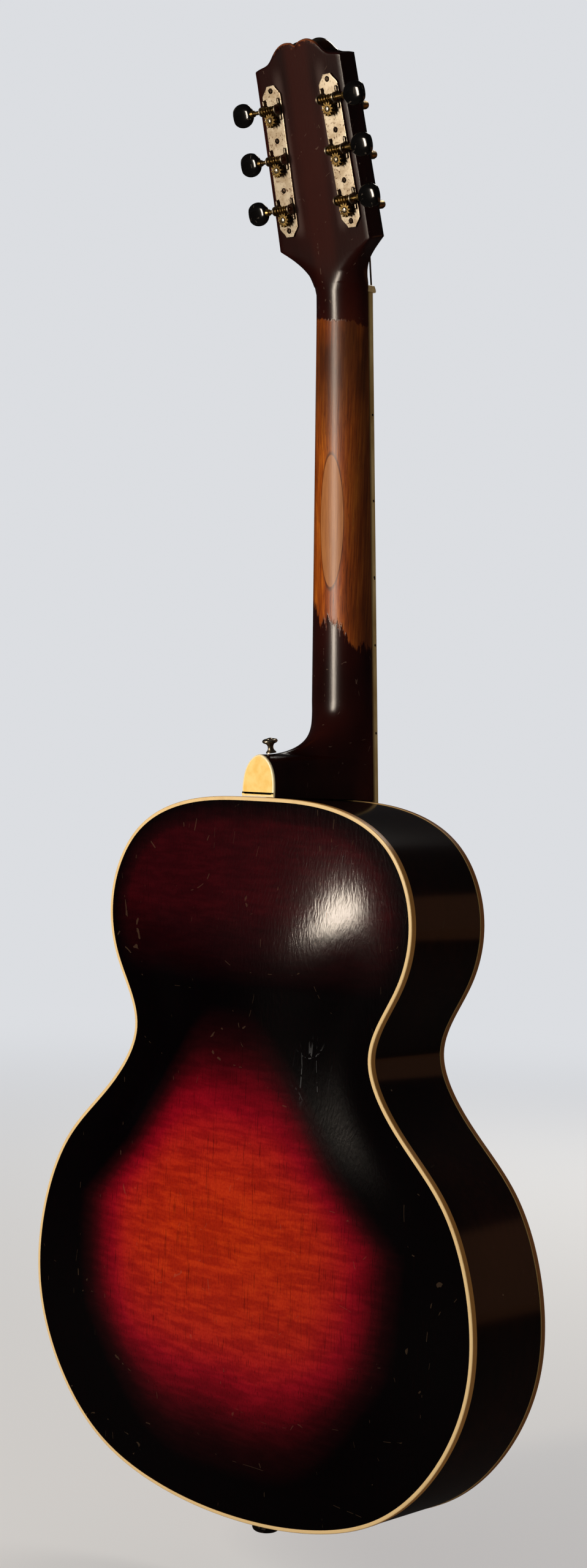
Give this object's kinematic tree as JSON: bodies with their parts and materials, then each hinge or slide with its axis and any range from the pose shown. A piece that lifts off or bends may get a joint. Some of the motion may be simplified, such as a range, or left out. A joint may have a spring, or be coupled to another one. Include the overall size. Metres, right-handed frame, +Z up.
{
  "type": "archtop guitar",
  "caption": "Hollow-body acoustic archtop guitar with an arched top and back, geared tuners, an adjustable bridge and a hinged trapeze tailpiece.",
  "frame": {"origin": "middle of the neck at the nut, where a wall hanger's yoke holds it under the headstock", "axes": "+Z up the neck toward the headstock, +Y out through the back, +X to the treble side"},
  "size_m": [0.4046, 0.1309, 1.0235],
  "materials": {
    "spruce_front": "gloss lacquer, dark sunburst",
    "flamed_maple": "gloss lacquer, red-brown sunburst over flame figure",
    "dark_maple": "gloss lacquer, near black",
    "mahogany": "worn gloss lacquer",
    "raw_spruce": "bare wood",
    "rosewood": "oiled",
    "black_veneer": "gloss black",
    "cream_plastic": "aged cream",
    "bone": "polished bone",
    "tortoise_plastic": "tortoiseshell pattern",
    "black_plastic": "gloss black",
    "aged_nickel": "dulled nickel plate",
    "aged_brass": "dulled",
    "string_steel": "wound and plain steel"
  },
  "bodies": {
    "guitar": {"top_plate": "spruce_front", "back_plate": "flamed_maple", "rib_bass": "dark_maple", "rib_treble": "dark_maple", "front_lining_bass": "raw_spruce", "front_lining_treble": "raw_spruce", "back_lining_bass": "raw_spruce", "back_lining_treble": "raw_spruce", "neck_block": "mahogany", "tail_block": "mahogany", "tone_bar_bass": "raw_spruce", "tone_bar_treble": "raw_spruce", "top_binding": "cream_plastic", "back_binding": "cream_plastic", "neck": "mahogany", "headstock_overlay": "black_veneer", "truss_rod": "aged_nickel", "truss_rod_cover": "black_plastic", "fingerboard": "rosewood", "fingerboard_binding": "cream_plastic", "nut": "bone", "heel_cap": "cream_plastic", "strap_button": "aged_nickel", "end_pin": "cream_plastic", "tailpiece_bracket": "aged_nickel", "tailpiece_hinge_pin": "aged_nickel", "bridge_base": "rosewood", "pickguard": "tortoise_plastic", "pickguard_bracket": "aged_nickel", "tuner_plate_bass": "aged_nickel", "tuner_plate_treble": "aged_nickel", "string_1": "string_steel", "string_2": "string_steel", "string_3": "string_steel", "string_4": "string_steel", "string_5": "string_steel", "string_6": "string_steel"},
    "button_bass_1": {"worm_shaft_bass_1": "aged_brass", "tuner_button_bass_1": "black_plastic"},
    "post_bass_1": {"gear_post_bass_1": "aged_brass"},
    "button_bass_2": {"worm_shaft_bass_2": "aged_brass", "tuner_button_bass_2": "black_plastic"},
    "post_bass_2": {"gear_post_bass_2": "aged_brass"},
    "button_bass_3": {"worm_shaft_bass_3": "aged_brass", "tuner_button_bass_3": "black_plastic"},
    "post_bass_3": {"gear_post_bass_3": "aged_brass"},
    "button_treble_1": {"worm_shaft_treble_1": "aged_brass", "tuner_button_treble_1": "black_plastic"},
    "post_treble_1": {"gear_post_treble_1": "aged_brass"},
    "button_treble_2": {"worm_shaft_treble_2": "aged_brass", "tuner_button_treble_2": "black_plastic"},
    "post_treble_2": {"gear_post_treble_2": "aged_brass"},
    "button_treble_3": {"worm_shaft_treble_3": "aged_brass", "tuner_button_treble_3": "black_plastic"},
    "post_treble_3": {"gear_post_treble_3": "aged_brass"},
    "saddle": {"bridge_saddle": "rosewood"},
    "wheel_bass": {"thumbwheel_bass": "aged_brass"},
    "wheel_treble": {"thumbwheel_treble": "aged_brass"},
    "tailpiece": {"tailpiece": "aged_nickel"},
    "rod_nut": {"truss_rod_nut": "aged_brass"}
  },
  "joints": [
    {"name": "tune_bass_1", "type": "hinge", "parent": "guitar", "child": "button_bass_1", "pos_m": [-0.0283, 0.03091, 0.05552], "axis": [1, 0, 0], "continuous": true},
    {"name": "wind_bass_1", "type": "hinge", "parent": "guitar", "child": "post_bass_1", "pos_m": [-0.0283, 0.02897, 0.04906], "axis": [0, 0.9575, -0.2884], "continuous": true},
    {"name": "tune_bass_2", "type": "hinge", "parent": "guitar", "child": "button_bass_2", "pos_m": [-0.02737, 0.04063, 0.08779], "axis": [1, 0, 0], "continuous": true},
    {"name": "wind_bass_2", "type": "hinge", "parent": "guitar", "child": "post_bass_2", "pos_m": [-0.02737, 0.03868, 0.08133], "axis": [0, 0.9575, -0.2884], "continuous": true},
    {"name": "tune_bass_3", "type": "hinge", "parent": "guitar", "child": "button_bass_3", "pos_m": [-0.02645, 0.05029, 0.11987], "axis": [1, 0, 0], "continuous": true},
    {"name": "wind_bass_3", "type": "hinge", "parent": "guitar", "child": "post_bass_3", "pos_m": [-0.02645, 0.04834, 0.1134], "axis": [0, 0.9575, -0.2884], "continuous": true},
    {"name": "tune_treble_1", "type": "hinge", "parent": "guitar", "child": "button_treble_1", "pos_m": [0.0283, 0.03091, 0.05552], "axis": [1, 0, 0], "continuous": true},
    {"name": "wind_treble_1", "type": "hinge", "parent": "guitar", "child": "post_treble_1", "pos_m": [0.0283, 0.02897, 0.04906], "axis": [0, 0.9575, -0.2884], "continuous": true},
    {"name": "tune_treble_2", "type": "hinge", "parent": "guitar", "child": "button_treble_2", "pos_m": [0.02737, 0.04063, 0.08779], "axis": [1, 0, 0], "continuous": true},
    {"name": "wind_treble_2", "type": "hinge", "parent": "guitar", "child": "post_treble_2", "pos_m": [0.02737, 0.03868, 0.08133], "axis": [0, 0.9575, -0.2884], "continuous": true},
    {"name": "tune_treble_3", "type": "hinge", "parent": "guitar", "child": "button_treble_3", "pos_m": [0.02645, 0.05029, 0.11987], "axis": [1, 0, 0], "continuous": true},
    {"name": "wind_treble_3", "type": "hinge", "parent": "guitar", "child": "post_treble_3", "pos_m": [0.02645, 0.04834, 0.1134], "axis": [0, 0.9575, -0.2884], "continuous": true},
    {"name": "bridge_height", "type": "slide", "parent": "guitar", "child": "saddle", "axis": [0, -1, 0], "range_m": [-0.00101, 0.00301], "deforming": ["string_1", "string_2", "string_3", "string_4", "string_5", "string_6"]},
    {"name": "wheel_turn_bass", "type": "hinge", "parent": "saddle", "child": "wheel_bass", "pos_m": [-0.037, -0.0397, -0.628], "axis": [0, -1, 0], "range_deg": [-450, 1350]},
    {"name": "wheel_turn_treble", "type": "hinge", "parent": "saddle", "child": "wheel_treble", "pos_m": [0.037, -0.0397, -0.628], "axis": [0, -1, 0], "range_deg": [-452, 1352]},
    {"name": "tailpiece_hinge", "type": "hinge", "parent": "guitar", "child": "tailpiece", "pos_m": [0, -0.02, -0.8434], "axis": [1, 0, 0], "range_deg": [-1.5, 5], "stiffness_Nm_per_rad": 2, "deforming": ["string_1", "string_2", "string_3", "string_4", "string_5", "string_6"]},
    {"name": "rod_nut_turn", "type": "hinge", "parent": "guitar", "child": "rod_nut", "pos_m": [0, -0.00055, 0.00561], "axis": [0, 0.0609, 0.9981], "range_deg": [-180, 180]}
  ],
  "couplings": [
    {"joint": "wind_bass_1", "follows": "tune_bass_1", "ratio": -0.083333},
    {"joint": "wind_bass_2", "follows": "tune_bass_2", "ratio": -0.083333},
    {"joint": "wind_bass_3", "follows": "tune_bass_3", "ratio": -0.083333},
    {"joint": "wind_treble_1", "follows": "tune_treble_1", "ratio": -0.083333},
    {"joint": "wind_treble_2", "follows": "tune_treble_2", "ratio": -0.083333},
    {"joint": "wind_treble_3", "follows": "tune_treble_3", "ratio": -0.083333},
    {"joint": "bridge_height", "follows": "wheel_turn_bass", "m_per_rad": 0.00012732},
    {"joint": "wheel_turn_treble", "follows": "wheel_turn_bass", "ratio": 1}
  ]
}
